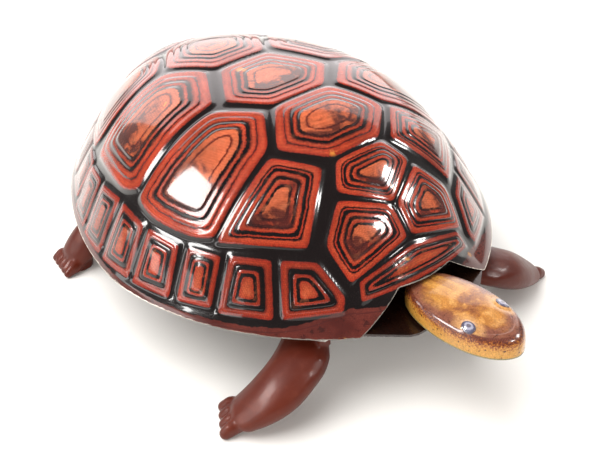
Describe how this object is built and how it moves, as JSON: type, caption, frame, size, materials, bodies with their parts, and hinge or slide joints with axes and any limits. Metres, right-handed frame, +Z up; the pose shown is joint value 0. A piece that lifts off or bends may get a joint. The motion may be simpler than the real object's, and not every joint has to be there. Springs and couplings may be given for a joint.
{
  "type": "clockwork tin tortoise",
  "caption": "Wind-up tin tortoise: embossed dome shell on a flat base plate, spring motor with drive wheels, and a sliding frame that swings the legs and head.",
  "frame": {"origin": "on the surface the toy stands on, under the middle of the whole toy", "axes": "+Z up, -Y towards the head, +X towards the tortoise's left side"},
  "size_m": [0.0873, 0.1364, 0.0485],
  "materials": {
    "tin_litho_red": "glossy lithographed lacquer, embossed",
    "tin_base": "dark lacquered tin",
    "head_litho": "glossy lithographed lacquer",
    "head_under": "glossy lacquer",
    "limb_brown": "semi-gloss moulded",
    "steel": "stamped and turned steel",
    "spring_steel": "blued spring steel",
    "brass": "stamped brass",
    "tin_plain": "bare tinplate",
    "wheel_red": "lacquered pressed wheel",
    "rubber_black": "matt rubber"
  },
  "bodies": {
    "chassis": {"shell": "tin_litho_red", "base_plate": "tin_base", "motor_plate_right": "tin_plain", "motor_plate_left": "tin_plain", "plate_pillars": "steel", "leg_rivets": "steel", "frame_guide_rivets": "steel", "neck_rivet": "steel", "mainspring": "spring_steel"},
    "drive": {"drive_axle": "steel", "wobble_cam": "steel", "drive_wheel_right": "wheel_red", "drive_wheel_left": "wheel_red", "tyre_right": "rubber_black", "tyre_left": "rubber_black"},
    "intermediate": {"intermediate_arbor": "steel", "intermediate_gear": "brass"},
    "great": {"great_wheel": "brass", "click_spring": "spring_steel"},
    "click_pawl": {"click": "steel"},
    "winding": {"winding_arbor": "steel", "ratchet_wheel": "steel", "winding_key": "brass"},
    "governor": {"governor_arbor": "steel", "star_wheel": "brass"},
    "pallet_rocker": {"pallet": "steel", "pallet_arbor": "steel"},
    "walking": {"walking_frame": "tin_plain"},
    "leg_front_right": {"front_right_leg": "limb_brown"},
    "leg_front_left": {"front_left_leg": "limb_brown"},
    "leg_rear_right": {"rear_right_leg": "limb_brown"},
    "leg_rear_left": {"rear_left_leg": "limb_brown"},
    "head": {"head_upper": "head_litho", "head_lower": "head_under", "neck_lever": "tin_plain", "head_rivets": "steel"}
  },
  "joints": [
    {"name": "drive_axle_spin", "type": "hinge", "parent": "chassis", "child": "drive", "pos_m": [0, 0.01154, 0.0082], "axis": [1, 0, 0], "continuous": true},
    {"name": "intermediate_spin", "type": "hinge", "parent": "chassis", "child": "intermediate", "pos_m": [0, 0.0195, 0.0202], "axis": [1, 0, 0], "continuous": true},
    {"name": "great_wheel_spin", "type": "hinge", "parent": "chassis", "child": "great", "pos_m": [0, 0.03034, 0.027], "axis": [1, 0, 0], "continuous": true},
    {"name": "governor_spin", "type": "hinge", "parent": "chassis", "child": "governor", "pos_m": [0, 0.0085, 0.0275], "axis": [1, 0, 0], "continuous": true},
    {"name": "key_wind", "type": "hinge", "parent": "chassis", "child": "winding", "pos_m": [0, 0.03034, 0.027], "axis": [1, 0, 0], "range_deg": [0, 1440]},
    {"name": "click_lift", "type": "hinge", "parent": "great", "child": "click_pawl", "pos_m": [0, 0.03734, 0.027], "axis": [1, 0, 0], "range_deg": [-4, 0], "stiffness_Nm_per_rad": 0.0004},
    {"name": "pallet_rock", "type": "hinge", "parent": "chassis", "child": "pallet_rocker", "pos_m": [0, 0.0085, 0.0353], "axis": [1, 0, 0], "range_deg": [-5, 5]},
    {"name": "walking_frame_slide", "type": "slide", "parent": "chassis", "child": "walking", "axis": [1, 0, 0], "range_m": [-0.00047, 0.00248]},
    {"name": "front_right_leg_swing", "type": "hinge", "parent": "chassis", "child": "leg_front_right", "pos_m": [-0.019, -0.031, 0.0142], "axis": [0, 0, 1], "range_deg": [-4.5, 22.2]},
    {"name": "front_left_leg_swing", "type": "hinge", "parent": "chassis", "child": "leg_front_left", "pos_m": [0.019, -0.031, 0.0142], "axis": [0, 0, 1], "range_deg": [-4.5, 22.2]},
    {"name": "rear_right_leg_swing", "type": "hinge", "parent": "chassis", "child": "leg_rear_right", "pos_m": [-0.022, 0.028, 0.0142], "axis": [0, 0, 1], "range_deg": [-22.2, 4.5]},
    {"name": "rear_left_leg_swing", "type": "hinge", "parent": "chassis", "child": "leg_rear_left", "pos_m": [0.022, 0.028, 0.0142], "axis": [0, 0, 1], "range_deg": [-22.2, 4.5]},
    {"name": "head_swing", "type": "hinge", "parent": "chassis", "child": "head", "pos_m": [0, -0.046, 0.0186], "axis": [0, 0, 1], "range_deg": [-16.2, 3.3]}
  ],
  "couplings": [
    {"joint": "intermediate_spin", "follows": "drive_axle_spin", "ratio": -0.38462},
    {"joint": "great_wheel_spin", "follows": "drive_axle_spin", "ratio": 0.12821},
    {"joint": "governor_spin", "follows": "drive_axle_spin", "ratio": 1.4286},
    {"joint": "front_right_leg_swing", "follows": "walking_frame_slide", "rad_per_m": 153.85},
    {"joint": "front_left_leg_swing", "follows": "walking_frame_slide", "rad_per_m": 153.85},
    {"joint": "rear_right_leg_swing", "follows": "walking_frame_slide", "rad_per_m": -153.85},
    {"joint": "rear_left_leg_swing", "follows": "walking_frame_slide", "rad_per_m": -153.85},
    {"joint": "head_swing", "follows": "walking_frame_slide", "rad_per_m": -111.11}
  ]
}
